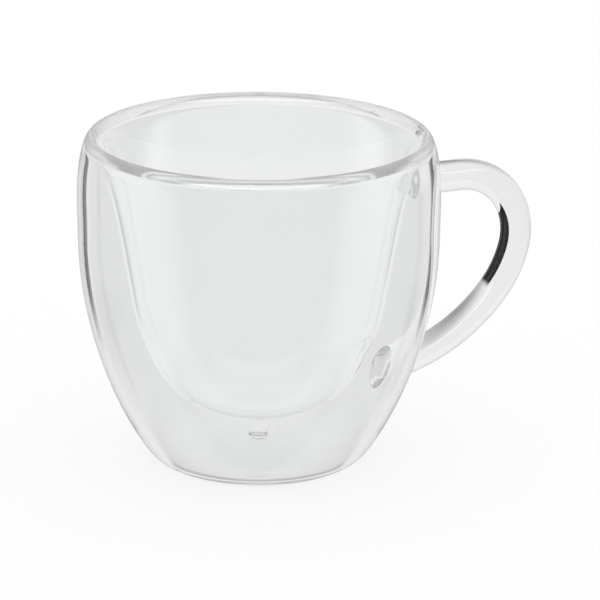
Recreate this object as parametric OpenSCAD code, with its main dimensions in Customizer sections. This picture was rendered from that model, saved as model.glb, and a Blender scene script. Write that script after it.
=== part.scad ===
// Double walled glass cup with a solid rod handle.
// The origin is the middle of the foot, on the surface that the cup stands on.
// +Z is up and the handle points along +X. Millimetres.

/* [Cup] */
// Height from the table to the top of the rim
cup_h = 83.3; // [78:0.1:92]
// Radius to the top of the rim
rim_r = 41.2; // [38:0.1:43]
// How far below the rim's top the two walls run into the rim
seam_drop = 5.8; // [5:0.1:7]
// Pull of the rim's outer side at the seam
rim_side_pull = 3.4; // [2:0.1:4.5]
// Pull of the rim's outer side at the top
rim_crown_pull = 1.5; // [1:0.1:2]
// Pull of the rim's inner side at the seam
rim_inner_pull = 3; // [2:0.1:4]
// Pull of the rim's inner side at the top
rim_inner_crown_pull = 1.3; // [0.8:0.1:1.6]
// Pull of the round top of the air gap, inside the rim
arch_pull = 4; // [2:0.1:4.4]

/* [Jacket] */
// Radius of the jacket where it is widest
belly_r = 45; // [43.5:0.1:50]
// How far below the rim's top the jacket is widest
belly_drop = 25.3; // [21:0.1:32]
// Radius from the axis to the middle of the heel's curve
foot_r = 23.6; // [20:0.1:27]
// Width of the flat ring that the cup stands on
foot_flat = 2; // [1:0.1:4]
// Radius of the heel's curve
heel_r = 6; // [4:0.1:8]
// Slope of the wall where it leaves the heel, in degrees
heel_slope = 51.5; // [40:0.5:60]
// Pull of the lower curve at the heel
heel_pull = 6.6; // [3:0.1:12]
// Pull of the lower curve at the widest place
belly_pull = 28.6; // [15:0.1:32]
// Pull of the shoulder curve at the widest place
shoulder_pull = 8; // [5:0.1:10]
// Pull of the shoulder curve at the seam
seam_pull = 6.5; // [4:0.1:8]
// Radius of the jacket's outside at the seam
seam_r = 44.2; // [43.5:0.1:46]
// Lean of the jacket at the seam, in degrees from upright
seam_lean = 10; // [6:0.5:14]
// Glass in the jacket's side
jacket_wall = 2.2; // [1.8:0.1:2.6]
// Glass in the jacket's base
base_wall = 2.6; // [2:0.1:3.2]
// Height of the push-up in the middle of the base
kick_h = 1.6; // [0.6:0.1:2.4]
// Half width of the soft step at the push-up's edge
kick_pull = 8; // [4:0.1:10]

/* [Bowl] */
// Height of the underside of the bowl above the table
bowl_z = 11.6; // [10:0.1:16]
// Outer radius of the bowl where its round bottom becomes its side
bowl_r = 30.4; // [27:0.1:32]
// Height of that place
bowl_turn_z = 35; // [32:0.1:38]
// Lean of the side there, in degrees from upright
bowl_lean = 19; // [14:0.5:22]
// Pull of the bottom's curve at the axis
bowl_base_pull = 20.7; // [14:0.1:23]
// Pull of the bottom's curve at the side
bowl_turn_pull = 16; // [12:0.1:20]
// Pull of the side's curve at its lower end
bowl_side_pull = 6; // [4:0.1:12]
// Pull of the side's curve at the seam
bowl_lip_pull = 14.8; // [8:0.1:18]
// Outer radius of the bowl at the seam
bowl_seam_r = 39.4; // [36.5:0.1:40]
// Lean of the bowl at the seam, in degrees from upright
lip_lean = 19.5; // [14:0.5:24]
// Glass in the bowl
bowl_wall = 1.1; // [1:0.1:1.6]

/* [Handle] */
// Diameter of the rod
rod_d = 8; // [7:0.1:10]
// How far below the rim's top the rod's axis leaves the wall, at its upper end
handle_drop = 16.5; // [13:0.1:21]
// Height of the rod's axis at its lower end
handle_low_z = 17.8; // [16:0.1:24]
// Straight length at the upper end, from the wall
handle_run = 10.6; // [7:0.1:14]
// Radius of the first bend, on the rod's axis
bend_r = 16.8; // [13:0.1:20]
// Angle of the first bend
bend_angle = 104; // [94:1:110]
// Radius of the back of the handle, on the rod's axis
back_r = 29; // [22:0.5:40]
// Angle of the back of the handle
back_angle = 26; // [18:1:32]
// Length of the gather at each end of the rod
weld_len = 5; // [4:0.1:6]
// Diameter of the gather where it meets the jacket
weld_d = 10.4; // [10:0.1:13]

/* [Vent] */
// Diameter of the vent hole in the base
vent_d = 3; // [2:0.1:4]
// Diameter of the drop that closes it
seal_d = 5; // [4.4:0.1:7]
// Height of the drop above the base, inside
seal_h = 1.3; // [0.6:0.1:2]
// How far the drop hangs below the hole, inside the push-up
seal_low = 0.4; // [0.2:0.1:0.6]

/* [Hidden] */
round_fn = 96;
rod_fn = 48;
curve_steps = 16;
rod_r = rod_d / 2;
vent_r = vent_d / 2;
seal_r = seal_d / 2;
// Glass that gathers where one bend of the rod runs into the next
bend_swell = 0.05;
seam_z = cup_h - seam_drop;
belly_z = cup_h - belly_drop;
handle_top_z = cup_h - handle_drop;
glass = [0.86, 0.9, 0.89];

// One cubic curve: its points from a to d, leaving towards b and arriving from c
function curve(a, b, c, d, steps = curve_steps) =
    [for (i = [0:steps]) let (t = i / steps, u = 1 - t)
        u * u * u * a + 3 * u * u * t * b + 3 * u * t * t * c + t * t * t * d];

// Unit step in the r, z plane at an angle up from outwards
function step_at(a) = [cos(a), sin(a)];

// A list without its first point, to follow one that ends there
function tail(p) = [for (i = [1:len(p) - 1]) p[i]];

// A list from its last point to its first
function turned(p) = [for (i = [len(p) - 1:-1:0]) p[i]];

// The jacket's outer side, from the heel to the seam
heel_mid = [foot_r, heel_r];
heel_end = heel_mid + heel_r * step_at(heel_slope - 90);
belly = [belly_r, belly_z];
jacket_seam = [seam_r, seam_z];
side_outer = concat(
    curve(heel_end, heel_end + heel_pull * step_at(heel_slope), belly - [0, belly_pull], belly),
    tail(curve(belly, belly + [0, shoulder_pull], jacket_seam - seam_pull * step_at(90 + seam_lean),
        jacket_seam)));

// The whole outside in profile: push-up, foot ring, heel and side
foot_in_r = foot_r - foot_flat;
base_outer = concat(
    curve([vent_r, kick_h], [vent_r + kick_pull, kick_h], [foot_in_r - kick_pull, 0], [foot_in_r, 0]),
    [[foot_r, 0]]);
heel_outer = [for (i = [1:curve_steps - 1])
    heel_mid + heel_r * step_at(heel_slope * i / curve_steps - 90)];
jacket_outer = concat(base_outer, heel_outer, side_outer);

// The same wall from inside
heel_in = heel_end + jacket_wall * step_at(heel_slope + 90);
belly_in = belly - [jacket_wall, 0];
jacket_seam_in = jacket_seam - [jacket_wall, 0];
base_in = curve([vent_r, kick_h + base_wall], [vent_r + kick_pull, kick_h + base_wall],
    [foot_r - kick_pull, base_wall], [foot_r - heel_r / 2, base_wall]);
heel_curve_in = curve([foot_r - heel_r / 2, base_wall], [foot_r, base_wall],
    heel_in - heel_r / 2 * step_at(heel_slope), heel_in);
side_in = concat(
    curve(heel_in, heel_in + heel_pull * step_at(heel_slope), belly_in - [0, belly_pull], belly_in),
    tail(curve(belly_in, belly_in + [0, shoulder_pull],
        jacket_seam_in - seam_pull * step_at(90 + seam_lean), jacket_seam_in)));
jacket_inner = concat(base_in, tail(heel_curve_in), tail(side_in));

// The bowl in profile, outside and inside
bowl_turn = [bowl_r, bowl_turn_z];
bowl_seam = [bowl_seam_r, seam_z];
bowl_seam_in = bowl_seam - [bowl_wall / cos(lip_lean), 0];
function bowl_curve(base_z, turn, seam) = concat(
    curve([0, base_z], [bowl_base_pull, base_z], turn - bowl_turn_pull * step_at(90 - bowl_lean), turn),
    tail(curve(turn, turn + bowl_side_pull * step_at(90 - bowl_lean),
        seam - bowl_lip_pull * step_at(90 - lip_lean), seam)));
bowl_outer = bowl_curve(bowl_z, bowl_turn, bowl_seam);
bowl_inner = bowl_curve(bowl_z + bowl_wall, bowl_turn + bowl_wall * step_at(180 - bowl_lean), bowl_seam_in);

// The rim in profile: outer side, inner side, and the round top of the air gap
rim_top = [rim_r, cup_h];
rim_outer = curve(jacket_seam, jacket_seam + rim_side_pull * step_at(90 + seam_lean),
    rim_top + [rim_crown_pull, 0], rim_top);
rim_inner = curve(rim_top, rim_top - [rim_inner_crown_pull, 0],
    bowl_seam_in + rim_inner_pull * step_at(90 - lip_lean), bowl_seam_in);
arch = curve(bowl_seam, bowl_seam + arch_pull * step_at(90 - lip_lean),
    jacket_seam_in + arch_pull * step_at(90 + seam_lean), jacket_seam_in);

// Radius of the jacket's outside at a height
function jacket_r_at(z) = lookup(z, [for (p = side_outer) [p[1], p[0]]]);

// The handle's axis: a straight, a bend, the gentler back, and a last arc that is solved to
// run into the jacket at handle_low_z. Each bend turns clockwise from its start and heading.
function bend_mid(start, heading, r) = start + r * step_at(heading - 90);
function bend_end(start, heading, r, angle) =
    bend_mid(start, heading, r) + r * step_at(heading + 90 - angle);
top_root = [jacket_r_at(handle_top_z), handle_top_z];
low_root = [jacket_r_at(handle_low_z), handle_low_z];
rod_start = top_root + [weld_len, 0];
bend_start = top_root + [handle_run, 0];
back_start = bend_end(bend_start, 0, bend_r, bend_angle);
back_heading = -bend_angle;
return_start = bend_end(back_start, back_heading, back_r, back_angle);
return_heading = back_heading - back_angle;
chord = low_root - return_start;
chord_turn = (return_heading - atan2(chord[1], chord[0]) + 720) % 360;
return_angle = 2 * chord_turn;
return_r = norm(chord) / (2 * sin(chord_turn));
// The rod stops one gather's length short of the wall
rod_return = return_angle - weld_len / (return_r * PI) * 180;
rod_end = bend_end(return_start, return_heading, return_r, rod_return);
rod_end_heading = return_heading - rod_return;

// Stands what is drawn in the r, z plane upright, in the plane of the handle
module upright() {
    rotate([90, 0, 0]) children();
}

module bend(start, heading, r, angle) {
    translate(bend_mid(start, heading, r)) rotate(heading + 90 - angle)
        rotate_extrude(angle = angle, $fn = round_fn) translate([r, 0]) circle(r = rod_r, $fn = rod_fn);
}

// The rod swells by a hair where two bends meet
module bend_joint(at, heading) {
    translate(at) rotate(heading) rotate([0, 90, 0]) sphere(r = rod_r + bend_swell, $fn = rod_fn);
}

// A gather along +X from the rod's end: it swells from the rod to weld_d
module gather(at, heading) {
    swell = curve([0, rod_r], [weld_len / 2, rod_r], [weld_len * 3 / 4, weld_d / 2 - rod_r / 8],
        [weld_len, weld_d / 2]);
    profile = concat([[0, 0]], [for (p = swell) [p[1], p[0]]],
        [[weld_d / 2, weld_len + weld_d], [0, weld_len + weld_d]]);
    translate(at) rotate(heading) rotate([0, 90, 0]) rotate_extrude($fn = rod_fn) polygon(profile);
}

// Everything inside the jacket's outer surface
module jacket_block() {
    rotate_extrude($fn = round_fn) polygon(concat([[0, kick_h]], jacket_outer, [[0, seam_z]]));
}

module outer_jacket() {
    color(glass, 0.4) rotate_extrude($fn = round_fn)
        polygon(concat(jacket_outer, turned(jacket_inner)));
}

module inner_bowl() {
    color(glass, 0.4) rotate_extrude($fn = round_fn)
        polygon(concat(bowl_outer, turned(bowl_inner)));
}

module rim_bead() {
    color(glass, 0.5) rotate_extrude($fn = round_fn)
        polygon(concat(rim_outer, tail(rim_inner), arch));
}

module handle_rod() {
    color(glass, 0.5) upright() {
        translate(rod_start) rotate([0, 90, 0]) cylinder(r = rod_r, h = handle_run - weld_len, $fn = rod_fn);
        bend(bend_start, 0, bend_r, bend_angle);
        bend(back_start, back_heading, back_r, back_angle);
        bend(return_start, return_heading, return_r, rod_return);
        bend_joint(bend_start, 0);
        bend_joint(back_start, back_heading);
        bend_joint(return_start, return_heading);
    }
}

module handle_upper_weld() {
    color(glass, 0.6) difference() {
        upright() gather(rod_start, 180);
        jacket_block();
    }
}

module handle_lower_weld() {
    color(glass, 0.6) difference() {
        upright() gather(rod_end, rod_end_heading);
        jacket_block();
    }
}

module vent_seal() {
    base_z = kick_h + base_wall;
    drip = curve([0, kick_h - seal_low], [vent_r / 2, kick_h - seal_low],
        [vent_r, kick_h - seal_low / 2], [vent_r, kick_h]);
    drop = curve([seal_r, base_z], [seal_r, base_z + seal_h * 2 / 3],
        [seal_r / 2, base_z + seal_h], [0, base_z + seal_h]);
    color(glass, 0.7) rotate_extrude($fn = rod_fn)
        polygon(concat(drip, [[vent_r, base_z]], drop));
}

outer_jacket();
inner_bowl();
rim_bead();
handle_rod();
handle_upper_weld();
handle_lower_weld();
vent_seal();
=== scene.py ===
import math

import bpy
import numpy as np
from mathutils import Matrix, Vector


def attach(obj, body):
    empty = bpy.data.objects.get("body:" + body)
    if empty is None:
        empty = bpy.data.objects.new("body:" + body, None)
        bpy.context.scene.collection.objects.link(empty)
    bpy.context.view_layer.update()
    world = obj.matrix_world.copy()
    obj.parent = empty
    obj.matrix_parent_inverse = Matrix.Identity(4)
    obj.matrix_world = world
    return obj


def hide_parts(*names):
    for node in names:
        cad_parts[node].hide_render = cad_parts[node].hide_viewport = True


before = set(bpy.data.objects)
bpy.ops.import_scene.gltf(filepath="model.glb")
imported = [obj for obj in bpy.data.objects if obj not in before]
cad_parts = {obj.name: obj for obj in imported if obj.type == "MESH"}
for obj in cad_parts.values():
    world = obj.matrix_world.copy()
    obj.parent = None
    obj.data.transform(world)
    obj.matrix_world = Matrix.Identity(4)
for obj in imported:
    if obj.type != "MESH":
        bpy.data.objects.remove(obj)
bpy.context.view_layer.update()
mm = 0.001


# Outer jacket. The thick outer wall, blown into a mould and open at the top.
# Its base is pushed up a little inside a flat foot ring, round a small vent hole.
# Its top is melted into the rim, and the two ends of the handle onto its side.

cup_h, seam_drop, seam_r, seam_lean = 83.3 * mm, 5.8 * mm, 44.2 * mm, 10
belly_r, belly_drop, belly_pull, shoulder_pull, seam_pull = 45 * mm, 25.3 * mm, 28.6 * mm, 8 * mm, 6.5 * mm
foot_r, foot_flat, heel_r, heel_slope, heel_pull = 23.6 * mm, 2 * mm, 6 * mm, 51.5, 6.6 * mm
jacket_wall, base_wall, kick_h, kick_pull = 2.2 * mm, 2.6 * mm, 1.6 * mm, 8 * mm
vent_r = 1.5 * mm
seam_z, belly_z = cup_h - seam_drop, cup_h - belly_drop
turns = 288                   # facets round a revolved piece


def curve(a, b, c, d, steps=40):
    """Cubic curve from a to d: (1-t)^3 a + 3(1-t)^2 t b + 3(1-t) t^2 c + t^3 d, t from 0 to 1."""
    t = np.linspace(0, 1, steps + 1)[:, None]
    a, b, c, d = (np.asarray(p, float) for p in (a, b, c, d))
    return (1 - t) ** 3 * a + 3 * (1 - t) ** 2 * t * b + 3 * (1 - t) * t**2 * c + t**3 * d


def heading(degrees):
    """Unit step (cos, sin) in the plane of radius and height."""
    return np.array([math.cos(math.radians(degrees)), math.sin(math.radians(degrees))])


def straight(a, b, steps=2):
    """Points a + t (b - a), t from 0 to 1."""
    t = np.linspace(0, 1, steps + 1)[:, None]
    return np.asarray(a) + t * (np.asarray(b) - np.asarray(a))


def joined(*runs):
    """Runs of points one after another, each without the point that it starts on."""
    return np.vstack([runs[0], *[run[1:] for run in runs[1:]]])


def ring_faces(rings, around, closed=False):
    """Four-sided faces from each ring of points to the next, and the number of each face's first ring.
    Point j of ring i has the number i around + j, and closed joins the last ring to the first."""
    i, j = np.meshgrid(np.arange(rings if closed else rings - 1), np.arange(around), indexing="ij")
    k, n = (i + 1) % rings, (j + 1) % around
    faces = np.stack([i * around + j, i * around + n, k * around + n, k * around + j], -1)
    return faces.reshape(-1, 4), i.reshape(-1)


def end_fans(rings, around):
    """Triangles that close the first and last rings on two poles, whose numbers follow the rings' points.
    A triangle's fourth number is -1."""
    j = np.arange(around)
    n, none = (j + 1) % around, np.full(around, -1)
    first_pole, last_ring = np.full(around, rings * around), (rings - 1) * around
    return np.concatenate([np.stack([first_pole, n, j, none], 1),
                           np.stack([first_pole + 1, last_ring + j, last_ring + n, none], 1)])


def build(name, points, faces, melted):
    """A smooth mesh from an (n, 3) array of points and an (m, 4) array of faces, as above.
    melted has a value for each face, 1 where the glass runs on into its neighbour and -1 elsewhere."""
    mesh = bpy.data.meshes.new(name)
    mesh.from_pydata(points.tolist(), [], [[v for v in f if v >= 0] for f in faces.tolist()])
    mesh.shade_smooth()
    mesh.update()
    layer = mesh.attributes.new("melted", "FLOAT", "CORNER")
    per_corner = np.repeat(melted, (faces >= 0).sum(1))
    layer.data.foreach_set("value", per_corner.astype(np.float32))
    piece = bpy.data.objects.new(name, mesh)
    bpy.context.collection.objects.link(piece)
    return piece


def revolved(name, profile, melted_runs=(), closed=False, around=turns):
    """Surface of revolution: point (r cos a, r sin a, z) for each profile point (r, z) and angle a.
    A profile that starts and ends on the axis gets a fan at each pole; a closed one joins its ends.
    melted_runs gives the profile's steps, from and up to, that are melted on to a neighbour."""
    profile = np.asarray(profile)
    poles = not closed
    rows = profile[1:-1] if poles else profile
    angle = np.arange(around) * 2 * math.pi / around
    ring = np.stack([np.cos(angle), np.sin(angle)], 1)
    grid = np.concatenate(
        [rows[:, None, :1] * ring[None], np.broadcast_to(rows[:, None, 1:], (len(rows), around, 1))], 2)
    points = grid.reshape(-1, 3)
    faces, step = ring_faces(len(rows), around, closed)
    if poles:
        points = np.vstack([points, [0, 0, profile[0, 1]], [0, 0, profile[-1, 1]]])
        faces = np.vstack([faces, end_fans(len(rows), around)])
        step = np.concatenate([step + 1, np.repeat([0, len(profile) - 2], around)])
    melted = np.full(len(faces), -1.0)
    for start, end in melted_runs:
        melted[(step >= start) & (step < end)] = 1.0
    return build(name, points, faces, melted)


def seal_edges(piece):
    """Keeps a melted face's edge sharp, so that the shading beside it doesn't roll over."""
    mesh = piece.data
    sizes = np.empty(len(mesh.polygons), np.int32)
    mesh.polygons.foreach_get("loop_total", sizes)
    starts = np.concatenate([[0], np.cumsum(sizes)[:-1]])
    value = np.empty(len(mesh.loops), np.float32)
    mesh.attributes["melted"].data.foreach_get("value", value)
    edge = np.empty(len(mesh.loops), np.int32)
    mesh.loops.foreach_get("edge_index", edge)
    state = np.repeat(value[starts] > 0.5, sizes)
    low, high = np.ones(len(mesh.edges), bool), np.zeros(len(mesh.edges), bool)
    np.logical_and.at(low, edge, state)
    np.logical_or.at(high, edge, state)
    sharp = mesh.attributes.new("sharp_edge", "BOOLEAN", "EDGE")
    sharp.data.foreach_set("value", low != high)
    mesh.update()


class Wire:
    """A shader socket that ordinary arithmetic works on: each operator adds one Math node."""

    def __init__(self, bench, socket):
        self.bench, self.socket = bench, socket

    def _math(self, operation, a, b):
        return self.bench.node("ShaderNodeMath", {"operation": operation}, {0: a, 1: b})

    def __add__(self, other): return self._math("ADD", self, other)
    def __radd__(self, other): return self._math("ADD", other, self)
    def __sub__(self, other): return self._math("SUBTRACT", self, other)
    def __rsub__(self, other): return self._math("SUBTRACT", other, self)
    def __mul__(self, other): return self._math("MULTIPLY", self, other)
    def __rmul__(self, other): return self._math("MULTIPLY", other, self)
    def __gt__(self, other): return self._math("GREATER_THAN", self, other)
    def __lt__(self, other): return self._math("LESS_THAN", self, other)


class Bench:
    """A node tree to build on. node() adds any node and gives back the output that is asked for."""

    def __init__(self, tree):
        self.tree = tree
        tree.nodes.clear()

    def node(self, kind, settings=None, sockets=None, out=0):
        new = self.tree.nodes.new(kind)
        for key, value in (settings or {}).items():
            setattr(new, key, value)
        for key, value in (sockets or {}).items():
            if isinstance(value, Wire):
                self.tree.links.new(value.socket, new.inputs[key])
            else:
                new.inputs[key].default_value = value
        return Wire(self, new.outputs[out]) if new.outputs else new


def glass(name, tint, ripple_size):
    """Clear glass with a faint tint at its skin and slow ripples from blowing, ripple_size apart.
    The tint deepens a little in patches. Where melted is above 0 there is no skin to see."""
    ripple_height, patch_stretch, patch_depth = 0.02 * mm, 2.5, 0.985
    material = bpy.data.materials.new(name)
    material.use_nodes = True
    bench = Bench(material.node_tree)
    place = bench.node("ShaderNodeTexCoord", out="Object")
    slow = bench.node("ShaderNodeTexNoise", {}, {"Vector": place, "Scale": 1 / ripple_size, "Detail": 1.5})
    film = bench.node("ShaderNodeTexNoise", {},
                      {"Vector": place, "Scale": 1 / (patch_stretch * ripple_size), "Detail": 3.0})
    normal = bench.node("ShaderNodeBump", {}, {"Height": slow, "Strength": 1.0, "Distance": ripple_height})
    skin = bench.node("ShaderNodeMix", {"data_type": "RGBA"},
                      {"Factor": film, "A": (*tint, 1), "B": (*[c * patch_depth for c in tint], 1)},
                      out="Result")
    melted = bench.node("ShaderNodeAttribute", {"attribute_name": "melted"}, out="Fac")
    body = bench.node("ShaderNodeBsdfPrincipled", {},
                      {"Base Color": skin, "Roughness": 0.0, "IOR": 1.47, "Transmission Weight": 1.0,
                       "Alpha": 1 - (melted > 0.0), "Normal": normal})
    bench.node("ShaderNodeOutputMaterial", {}, {"Surface": body})
    return material


clear_tint = (0.98, 0.987, 0.985)
wall_glass = glass("wall_glass", clear_tint, 18 * mm)

heel_mid = np.array([foot_r, heel_r])
heel_end = heel_mid + heel_r * heading(heel_slope - 90)
belly = np.array([belly_r, belly_z])
seam = np.array([seam_r, seam_z])
side = joined(
    curve(heel_end, heel_end + heel_pull * heading(heel_slope), belly - [0, belly_pull], belly, 60),
    curve(belly, belly + [0, shoulder_pull], seam - seam_pull * heading(90 + seam_lean), seam, 40))
foot_in = foot_r - foot_flat
heel_turn = np.radians(np.linspace(0, heel_slope, 17))
outside = joined(
    curve([vent_r, kick_h], [vent_r + kick_pull, kick_h], [foot_in - kick_pull, 0], [foot_in, 0]),
    straight([foot_in, 0], [foot_r, 0]),
    heel_mid + heel_r * np.stack([np.sin(heel_turn), -np.cos(heel_turn)], 1),
    side)
heel_in = heel_end + jacket_wall * heading(heel_slope + 90)
belly_in = belly - [jacket_wall, 0]
seam_in = seam - [jacket_wall, 0]
inside = joined(
    curve([vent_r, kick_h + base_wall], [vent_r + kick_pull, kick_h + base_wall],
          [foot_r - kick_pull, base_wall], [foot_r - heel_r / 2, base_wall]),
    curve([foot_r - heel_r / 2, base_wall], [foot_r, base_wall],
          heel_in - heel_r / 2 * heading(heel_slope), heel_in, 16),
    curve(heel_in, heel_in + heel_pull * heading(heel_slope), belly_in - [0, belly_pull], belly_in, 60),
    curve(belly_in, belly_in + [0, shoulder_pull],
          seam_in - seam_pull * heading(90 + seam_lean), seam_in, 40))
seam_face = straight(seam, seam_in)
vent_wall = straight(inside[0], outside[0])
jacket_profile = joined(outside, seam_face, inside[::-1], vent_wall)[:-1]
# The profile's melted steps: at the seam and in the vent hole
seam_start = len(outside) - 1
vent_start = len(outside) + len(seam_face) + len(inside) - 3
jacket = revolved("jacket_wall", jacket_profile,
                  [(seam_start, seam_start + 2), (vent_start, vent_start + 2)], closed=True)
jacket.data.materials.append(wall_glass)
seal_edges(jacket)
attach(jacket, "root")
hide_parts("outer_jacket")


# Inner bowl. The thin liner that holds the drink, blown with a round bottom.
# It hangs from the rim alone, so clear air lies all round it.

bowl_z, bowl_r, bowl_turn_z, bowl_lean, bowl_wall = 11.6 * mm, 30.4 * mm, 35 * mm, 19, 1.1 * mm
bowl_base_pull, bowl_turn_pull, bowl_side_pull, bowl_lip_pull = 20.7 * mm, 16 * mm, 6 * mm, 14.8 * mm
bowl_seam_r, lip_lean = 39.4 * mm, 19.5


def bowl_curve(base_z, turn, end):
    """Two cubic curves: the round bottom from the axis to turn, then the side to the seam."""
    up = heading(90 - bowl_lean)
    return joined(
        curve([0, base_z], [bowl_base_pull, base_z], turn - bowl_turn_pull * up, turn, 60),
        curve(turn, turn + bowl_side_pull * up, end - bowl_lip_pull * heading(90 - lip_lean), end, 60))


bowl_turn = np.array([bowl_r, bowl_turn_z])
bowl_seam = np.array([bowl_seam_r, seam_z])
bowl_seam_in = bowl_seam - [bowl_wall / math.cos(math.radians(lip_lean)), 0]
bowl_out = bowl_curve(bowl_z, bowl_turn, bowl_seam)
bowl_in = bowl_curve(bowl_z + bowl_wall, bowl_turn + bowl_wall * heading(180 - bowl_lean), bowl_seam_in)
bowl_face = straight(bowl_out[-1], bowl_in[-1])
bowl = revolved("bowl_wall", joined(bowl_out, bowl_face, bowl_in[::-1]),
                [(len(bowl_out) - 1, len(bowl_out) + 1)])
bowl.data.materials.append(wall_glass)
seal_edges(bowl)
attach(bowl, "root")
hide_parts("inner_bowl")


# Rim. The two walls, melted together in the flame into one round-topped ring.
# The air between them reaches up into it and ends in a narrow arch, just under the lip.

rim_top = np.array([41.2 * mm, cup_h])
rim_side_pull, rim_crown_pull, rim_inner_pull, rim_inner_crown_pull = 3.4 * mm, 1.5 * mm, 3 * mm, 1.3 * mm
arch_pull = 4 * mm
rim_curve = joined(
    curve(seam, seam + rim_side_pull * heading(90 + seam_lean), rim_top + [rim_crown_pull, 0], rim_top, 24),
    curve(rim_top, rim_top - [rim_inner_crown_pull, 0],
          bowl_seam_in + rim_inner_pull * heading(90 - lip_lean), bowl_seam_in, 24))
arch = curve(bowl_seam, bowl_seam + arch_pull * heading(90 - lip_lean),
             seam_in + arch_pull * heading(90 + seam_lean), seam_in, 20)
rim_under = joined(straight(bowl_seam_in, bowl_seam), arch, straight(seam_in, seam))
face_start = len(rim_curve) - 1
arch_end = face_start + 1 + len(arch)
bead = revolved("rim_bead_ring", joined(rim_curve, rim_under)[:-1],
                [(face_start, face_start + 2), (arch_end, arch_end + 2)], closed=True)
bead.data.materials.append(glass("rim_glass", clear_tint, 12 * mm))
seal_edges(bead)
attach(bead, "root")
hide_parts("rim_bead")


# Vent seal. A drop of glass that closes the vent hole once the air inside has been let out.
# Inside it stands up as a small nub, which the photograph shows through the bowl.

seal_r, seal_h, seal_low = 2.5 * mm, 1.3 * mm, 0.4 * mm
base_z = kick_h + base_wall
drip = curve([0, kick_h - seal_low], [vent_r / 2, kick_h - seal_low],
             [vent_r, kick_h - seal_low / 2], [vent_r, kick_h], 10)
drop = curve([seal_r, base_z], [seal_r, base_z + seal_h * 2 / 3],
             [seal_r / 2, base_z + seal_h], [0, base_z + seal_h], 16)
plug = straight([vent_r, kick_h], [vent_r, base_z])
flange = straight([vent_r, base_z], [seal_r, base_z])
seal = revolved("vent_drop", joined(drip, plug, flange, drop), [(len(drip) - 1, len(drip) + 1)], around=72)
seal.data.materials.append(glass("seal_glass", clear_tint, 3 * mm))
seal_edges(seal)
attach(seal, "root")
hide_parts("vent_seal")


# Handle rod. A solid glass rod bent in the flame: a short straight, a tight bend,
# the gentler back that the hand holds, and a long curve back in to the jacket.

rod_r, handle_drop, handle_low_z, handle_run = 4 * mm, 16.5 * mm, 17.8 * mm, 10.6 * mm
bend_r, bend_angle, back_r, back_angle = 16.8 * mm, 104, 29 * mm, 26
weld_len, weld_r = 5 * mm, 5.2 * mm


def jacket_r_at(z):
    """Radius of the jacket's outside at a height, along the profile that it is turned from."""
    return np.interp(z, side[:, 1], side[:, 0])


def bend(start, way, radius, angle, steps):
    """Arc that turns clockwise, with its headings: centre + radius (cos, sin) of heading + 90 degrees."""
    centre = start + radius * heading(way - 90)
    headings = way - np.linspace(0, angle, steps + 1)
    spoke = np.radians(headings + 90)
    return centre + radius * np.stack([np.cos(spoke), np.sin(spoke)], 1), headings


top_z = cup_h - handle_drop
top_root = np.array([jacket_r_at(top_z), top_z])
low_root = np.array([jacket_r_at(handle_low_z), handle_low_z])
rod_start = top_root + [weld_len, 0]
run, run_way = straight(rod_start, top_root + [handle_run, 0], 6), np.zeros(7)
first, first_way = bend(run[-1], 0, bend_r, bend_angle, 60)
back, back_way = bend(first[-1], -bend_angle, back_r, back_angle, 20)
chord = low_root - back[-1]
turn_in = (back_way[-1] - math.degrees(math.atan2(chord[1], chord[0]))) % 360
return_r = np.hypot(*chord) / (2 * math.sin(math.radians(turn_in)))
home, home_way = bend(back[-1], back_way[-1], return_r, 2 * turn_in - math.degrees(weld_len / return_r), 50)
path = joined(run, first, back, home)
ways = np.concatenate([run_way, first_way[1:], back_way[1:], home_way[1:]])


def tube(name, path, ways, radius, around=64):
    """Round rod: the point at angle a of ring i is path i + radius (cos a up + sin a across),
    where up is square to the heading in the plane of the handle and across is the -Y axis.
    Its two ends are melted on to the gathers."""
    angle = np.arange(around) * 2 * math.pi / around
    way = np.radians(ways)
    up = np.stack([-np.sin(way), 0 * way, np.cos(way)], 1)
    middle = np.stack([path[:, 0], 0 * way, path[:, 1]], 1)
    across = np.array([0.0, -1.0, 0.0])
    spoke = np.cos(angle)[None, :, None] * up[:, None] + np.sin(angle)[None, :, None] * across
    grid = middle[:, None] + radius * spoke
    points = np.vstack([grid.reshape(-1, 3), middle[0], middle[-1]])
    faces = np.vstack([ring_faces(len(path), around)[0], end_fans(len(path), around)])
    return build(name, points, faces, np.where(faces[:, 3] < 0, 1.0, -1.0))


rod = tube("handle_bar", path, ways, rod_r)
rod_glass = glass("rod_glass", (0.965, 0.97, 0.968), 22 * mm)
rod.data.materials.append(rod_glass)
seal_edges(rod)
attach(rod, "root")
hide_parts("handle_rod")


# Handle welds. The two gathers of hot glass that join the rod's ends to the jacket.
# Each swells a little from the rod and ends on the wall, which is melted away under it.

def weld_swell(along):
    """Radius of a gather at a distance from the rod's end, along the cubic that it is turned from."""
    swell = curve([0, rod_r], [weld_len / 2, rod_r],
                  [weld_len * 3 / 4, weld_r - rod_r / 8], [weld_len, weld_r])
    return np.interp(along, swell[:, 0], swell[:, 1])


def weld_point(start, way, along, out, angle):
    """start + along the heading + out (cos angle up + sin angle across), as for the rod."""
    ahead, up = heading(way), heading(way + 90)
    side_step = out * np.cos(angle)
    return np.stack([start[0] + along * ahead[0] + side_step * up[0], -out * np.sin(angle),
                     start[1] + along * ahead[1] + side_step * up[1]], -1)


def reach_wall(start, way, share, angle):
    """How far along its heading a line at a share of the gather's radius meets the jacket, by halving."""
    near, far = np.zeros(np.shape(share)), np.full(np.shape(share), weld_len + 2 * weld_r)
    for _ in range(40):
        middle = (near + far) / 2
        point = weld_point(start, way, middle, share * weld_swell(middle), angle)
        clear = np.hypot(point[..., 0], point[..., 1]) > jacket_r_at(point[..., 2])
        near, far = np.where(clear, middle, near), np.where(clear, far, middle)
    return near


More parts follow.
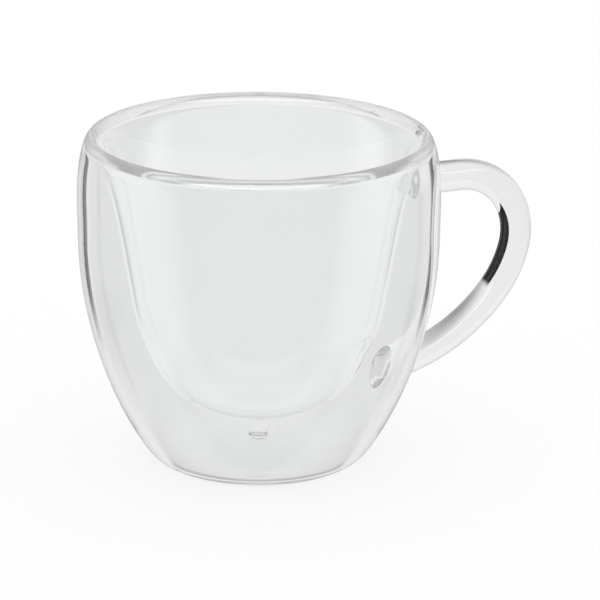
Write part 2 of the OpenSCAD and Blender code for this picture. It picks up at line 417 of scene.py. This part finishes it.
def weld(name, node, start, way, around=96, steps=16, rings=10):
    """Side: rings from the rod's end to the wall. Ends: a flat disc on the rod and a saddle on the wall."""
    angle = np.arange(around) * 2 * math.pi / around
    share, spin = np.meshgrid(np.arange(1, rings + 1) / rings, angle, indexing="ij")
    saddle_along = reach_wall(start, way, share, spin)
    saddle = weld_point(start, way, saddle_along, share * weld_swell(saddle_along), spin)
    t = np.linspace(0, 1, steps + 1)[:, None]
    along = t * saddle_along[-1][None]
    side_rows = weld_point(start, way, along, weld_swell(along), angle[None])
    rows = np.concatenate([side_rows, saddle[-2::-1]])
    on_axis = np.zeros(1)
    centre = weld_point(start, way, reach_wall(start, way, on_axis, on_axis), on_axis, on_axis)
    points = np.vstack([rows.reshape(-1, 3), [[start[0], 0, start[1]]], centre])
    faces, step = ring_faces(len(rows), around)
    melted = np.concatenate([np.where(step >= steps, 1.0, -1.0), np.ones(2 * around)])
    piece = build(name, points, np.vstack([faces, end_fans(len(rows), around)]), melted)
    piece.data.materials.append(rod_glass)
    seal_edges(piece)
    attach(piece, "root")
    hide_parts(node)


def melt_wall_under(start, way):
    """Marks the jacket where its outside lies within the gather: the value is the gather's radius
    less the distance to its axis, above 0 inside it."""
    mesh = jacket.data
    points = np.empty(len(mesh.vertices) * 3)
    mesh.vertices.foreach_get("co", points)
    corner = np.empty(len(mesh.loops), np.int32)
    mesh.loops.foreach_get("vertex_index", corner)
    value = np.empty(len(mesh.loops), np.float32)
    mesh.attributes["melted"].data.foreach_get("value", value)
    points = points.reshape(-1, 3)
    ahead, up = heading(way), heading(way + 90)
    away = points[:, ::2] - start
    along = away @ ahead
    depth = weld_swell(along) - np.hypot(away @ up, points[:, 1])
    on_outside = np.hypot(points[:, 0], points[:, 1]) > jacket_r_at(points[:, 2]) - jacket_wall / 4
    depth[(along < 0) | (along > weld_len + 2 * weld_r) | ~on_outside] = -1
    near = depth[corner] > -weld_r
    value[near] = np.maximum(value[near], depth[corner][near])
    mesh.attributes["melted"].data.foreach_set("value", value)
    mesh.update()


weld("upper_gather", "handle_upper_weld", rod_start, 180)
weld("lower_gather", "handle_lower_weld", home[-1], home_way[-1])
melt_wall_under(rod_start, 180)
melt_wall_under(home[-1], home_way[-1])


# Table. A white table, burnt out to white where it is seen directly.
# Through the glass it glows with painted shade: a shade greyer by how many surfaces lie between,
# painted lighter near the cup's middle and far behind it, painted darker beside it, with a painted soft
# shadow beside the handle, and painted dark in a corner past the handle, though the table goes on there.
# Lengths are from the cup's middle.

view_azimuth = math.radians(24)                    # the handle's plane, behind the picture plane
table_half, table_drop = 4.0, 0.2 * mm
table_glow = 0.85
any_glass, one_surface, rod_surfaces, jacket_surfaces = 0.5, 1.5, 2.5, 4.5    # limits between whole numbers
any_glance = 0.5
# Painted shade: the table's glow as seen through the glass, by how many surfaces lie between
rod_level, jacket_level, bowl_level = 0.91, 0.80, 1.03
# Painted light near the cup's middle and far behind the cup, painted shade beside it
under_lift, under_start, under_edge = 0.06, 28 * mm, 45 * mm
mouth_lift, mouth_start, mouth_edge, mouth_side, mouth_soft = 0.15, 180 * mm, 25 * mm, 46 * mm, 16 * mm
side_shade, side_start, side_edge, side_near, side_far = 0.1, 43 * mm, 22 * mm, 90 * mm, 60 * mm
# Painted dark in a corner past the handle, though the table goes on there
painted_dark_x, painted_dark_slope, painted_dark_slope_start, painted_dark_soft, painted_dark_level = 111 * mm, 1.15, 50 * mm, 6 * mm, 0.005
# A painted soft shadow beside the handle, seen through the rod
painted_shadow_x, painted_shadow_y, painted_shadow_reach, painted_shadow_depth = 88 * mm, 14 * mm, 50 * mm, 0.62


def ramp(bench, value, start, edge):
    """0 below start, 1 from start + edge on, with a soft step between."""
    return bench.node("ShaderNodeMapRange", {"interpolation_type": "SMOOTHSTEP"},
                      {"Value": value, "From Min": start, "From Max": start + edge})


def along_axes(bench, vector):
    """The three numbers of a vector."""
    split = bench.tree.nodes.new("ShaderNodeSeparateXYZ")
    bench.tree.links.new(vector.socket, split.inputs[0])
    return (Wire(bench, output) for output in split.outputs)


table_mesh = bpy.data.meshes.new("table")
table_mesh.from_pydata([(-table_half, -table_half, -table_drop), (table_half, -table_half, -table_drop),
                        (table_half, table_half, -table_drop), (-table_half, table_half, -table_drop)],
                       [], [(0, 1, 2, 3)])
table = bpy.data.objects.new("table", table_mesh)
bpy.context.collection.objects.link(table)
white = bpy.data.materials.new("white_table")
white.use_nodes = True
bench = Bench(white.node_tree)
glances = bench.node("ShaderNodeLightPath", out="Glossy Depth")
passes = bench.node("ShaderNodeLightPath", out="Transmission Depth")
spot = bench.node("ShaderNodeTexCoord", out="Object")
x, y, _ = along_axes(bench, spot)
through_rod = (passes > one_surface) * (passes < rod_surfaces)
through_jacket = (passes > rod_surfaces) * (passes < jacket_surfaces)
# Painted shade, greyer by how many surfaces lie between
glass_level = (rod_level + (passes > rod_surfaces) * (jacket_level - rod_level)
               + (passes > jacket_surfaces) * (bowl_level - jacket_level))
from_middle = bench.node("ShaderNodeVectorMath", {"operation": "LENGTH"}, {0: spot}, out="Value")
# Painted light near the cup's middle
under = 1 - ramp(bench, from_middle, under_start, under_edge)
away = x * math.sin(view_azimuth) + y * math.cos(view_azimuth)
aside = bench.node("ShaderNodeMath", {"operation": "ABSOLUTE"},
                   {0: x * math.cos(view_azimuth) - y * math.sin(view_azimuth)})
# Painted light far behind the cup and painted shade beside it, through the jacket
within = (1 - ramp(bench, aside, mouth_side, mouth_soft)) * ramp(bench, away, mouth_start, mouth_edge)
beside = ramp(bench, aside, side_start, side_edge) * (1 - ramp(bench, away, side_near, side_far))
lit = (glass_level + under_lift * under
       + through_jacket * (mouth_lift * within - side_shade * beside))
# Painted shadow beside the handle, through the rod
from_painted_shadow = bench.node("ShaderNodeVectorMath", {"operation": "DISTANCE"},
                         {0: spot, 1: (painted_shadow_x, painted_shadow_y, -table_drop)}, out="Value")
painted_shadow = 1 - ramp(bench, from_painted_shadow, 0, painted_shadow_reach)
# Painted dark in a corner past the handle, through the rod; the table goes on there
painted_dark = ramp(bench, x, painted_dark_x, painted_dark_soft) * ramp(bench, x - y * painted_dark_slope, painted_dark_slope_start, painted_dark_soft)
seen = (lit * (1 - painted_shadow * painted_shadow_depth * through_rod)
        * (1 - painted_dark * through_rod * (1 - painted_dark_level)))
paper_white = (1 - table_glow, 1 - table_glow, 1 - table_glow, 1)
paper = bench.node("ShaderNodeBsdfDiffuse", {}, {"Color": paper_white})
glow = bench.node("ShaderNodeEmission", {}, {"Color": (1, 1, 1, 1), "Strength": table_glow})
open_table = bench.node("ShaderNodeAddShader", {}, {0: paper, 1: glow})
# Through the glass the table is a glow that carries this painted light and shade
through = bench.node("ShaderNodeEmission", {}, {"Color": (1, 1, 1, 1), "Strength": seen})
gone = bench.node("ShaderNodeBsdfTransparent")
table_look = bench.node("ShaderNodeMixShader", {}, {0: passes > any_glass, 1: open_table, 2: through})
bench.node("ShaderNodeOutputMaterial", {}, {
    "Surface": bench.node("ShaderNodeMixShader", {}, {0: glances > any_glance, 1: table_look, 2: gone})})
table_mesh.materials.append(white)


# Room. White where it is seen directly, a grey studio to rays that glance off the glass.
# It has two low dark flags beyond the cup, left and right, and one lamp behind the camera.
# Rays that glance three times and more inside the glass come out brighter ahead than back.

room_light, through_level = 1.02, 0.97
studio_grey, studio_aside, studio_behind = 0.45, 0.22, 0.1
inner_grey, inner_behind = 0.95, 0.4               # to rays that glance inside the glass
aside_start, aside_edge = math.radians(42), math.radians(14)
behind_start, behind_edge = math.radians(95), math.radians(20)
flag_start, flag_end, flag_edge = math.radians(28), math.radians(37), math.radians(2.5)
flag_low, flag_low_fade, flag_high, flag_fade = -0.46, 0.12, -0.08, 0.05      # sines of their elevations
flag_level, deep_flag = 0.01, 0.5
lost_glances, lost_ahead, lost_back = 2.5, 0.9, 0.5
lost_start, lost_edge = math.radians(45), math.radians(40)
down_start, down_edge, down_level = 0.64, 0.08, 0.55           # sine of the slope that it starts at
lamp_low, lamp_high, lamp_edge, lamp_level = 0.48, 0.60, 0.03, 3.0            # sines of its elevations

scene = bpy.context.scene
world = bpy.data.worlds.new("white_room")
scene.world = world
world.use_nodes = True
bench = Bench(world.node_tree)
glances = bench.node("ShaderNodeLightPath", out="Glossy Depth")
passes = bench.node("ShaderNodeLightPath", out="Transmission Depth")
glanced, lost = glances > any_glance, glances > lost_glances
inner, deep = passes > any_glass, passes > rod_surfaces
east, north, rise = along_axes(bench, bench.node("ShaderNodeTexCoord", out="Generated"))
bearing = bench.node("ShaderNodeMath", {"operation": "ARCTAN2"}, {0: east, 1: north})
turned = bench.node("ShaderNodeMath", {"operation": "PINGPONG"},
                    {0: bearing + (4 * math.pi - view_azimuth), 1: math.pi})
behind = ramp(bench, turned, behind_start, behind_edge)
sideways = ramp(bench, turned, aside_start, aside_edge)
first_grey = studio_grey + sideways * (studio_aside - studio_grey)
near_grey = first_grey + inner * (inner_grey - first_grey)
far_grey = studio_behind + deep * (inner_behind - studio_behind)
flag = (ramp(bench, turned, flag_start - flag_edge / 2, flag_edge)
        * (1 - ramp(bench, turned, flag_end - flag_edge / 2, flag_edge))
        * ramp(bench, rise, flag_low, flag_low_fade) * (1 - ramp(bench, rise, flag_high, flag_fade))
        * (1 - deep * deep_flag))
sight = (near_grey + behind * (far_grey - near_grey)) * (1 - flag) + flag * flag_level
lost_grey = lost_ahead + ramp(bench, turned, lost_start, lost_edge) * (lost_back - lost_ahead)
sight = sight * (1 - lost) + lost * lost_grey
downward = ramp(bench, 0 - rise, down_start, down_edge) * inner * (passes < jacket_surfaces)
lamp = (ramp(bench, rise, lamp_low, lamp_edge) * (1 - ramp(bench, rise, lamp_high, lamp_edge))
        * behind * (1 - inner) * lamp_level)
studio = sight * (1 - downward * (1 - down_level)) + lamp
plain = room_light - inner * (room_light - through_level)
shade = plain * (1 - glanced) + studio * glanced
backdrop = bench.node("ShaderNodeBackground", {}, {"Color": (1, 1, 1, 1), "Strength": shade})
bench.node("ShaderNodeOutputWorld", {}, {"Surface": backdrop})

scene.view_settings.view_transform = "Standard"
scene.cycles.max_bounces = 256
scene.cycles.transmission_bounces = 64
scene.cycles.transparent_max_bounces = 64
scene.cycles.glossy_bounces = 256
scene.cycles.diffuse_bounces = 4


# Camera. At the photograph's angle: low over the rim, with the handle to the right and behind.

focal, sensor, distance, aim_side, aim_up = 167.24, 36.0, 712 * mm, 10.34 * mm, 38.06 * mm
tilt, roll = math.radians(18.43), math.radians(0.52)
right = Vector((math.cos(view_azimuth), -math.sin(view_azimuth), 0))
ahead = Vector((math.sin(view_azimuth) * math.cos(tilt), math.cos(view_azimuth) * math.cos(tilt),
                -math.sin(tilt)))
up = right.cross(ahead)
eye = right * aim_side + up * aim_up - ahead * distance
level = (right * math.cos(roll) + up * math.sin(roll), up * math.cos(roll) - right * math.sin(roll), -ahead)
camera_data = bpy.data.cameras.new("camera")
camera_data.lens, camera_data.sensor_width = focal, sensor
camera = bpy.data.objects.new("camera", camera_data)
camera.matrix_world = Matrix.Translation(eye) @ Matrix(level).transposed().to_4x4()
bpy.context.collection.objects.link(camera)
scene.camera = camera
